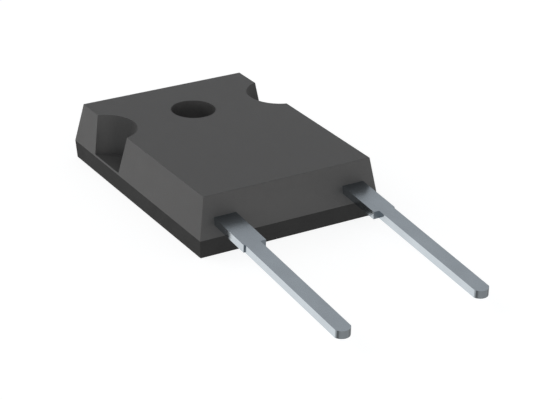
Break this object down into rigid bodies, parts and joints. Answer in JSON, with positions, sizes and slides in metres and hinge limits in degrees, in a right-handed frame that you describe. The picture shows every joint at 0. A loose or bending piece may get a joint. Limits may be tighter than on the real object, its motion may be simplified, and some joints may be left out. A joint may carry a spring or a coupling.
{
  "type": "silicon carbide schottky diode",
  "caption": "Flat moulded power rectifier with a screw hole, half-round side notches, a bare heat-sink pad on its back and straight leads at one end.",
  "frame": {"origin": "where the mounting hole's axis meets the plane of the heat-sink face", "axes": "+Z out of the printed side, away from the heat sink, along the mounting hole; -Y towards the lead tips; +X towards the anode lead"},
  "size_m": [0.0156, 0.0368, 0.0047],
  "materials": {
    "moulding_compound": "fine matt, as moulded",
    "tinned_copper": "bright tin plate",
    "solder": "satin",
    "carbide_die": "polished, with a metallised top",
    "bond_wire": "satin, drawn"
  },
  "bodies": {
    "root": {"moulded_body": "moulding_compound", "tab_and_cathode_lead": "tinned_copper", "anode_lead": "tinned_copper", "die_attach_solder": "solder", "silicon_carbide_die": "carbide_die", "bond_wire_1": "bond_wire", "bond_wire_2": "bond_wire", "bond_wire_3": "bond_wire"}
  },
  "joints": []
}
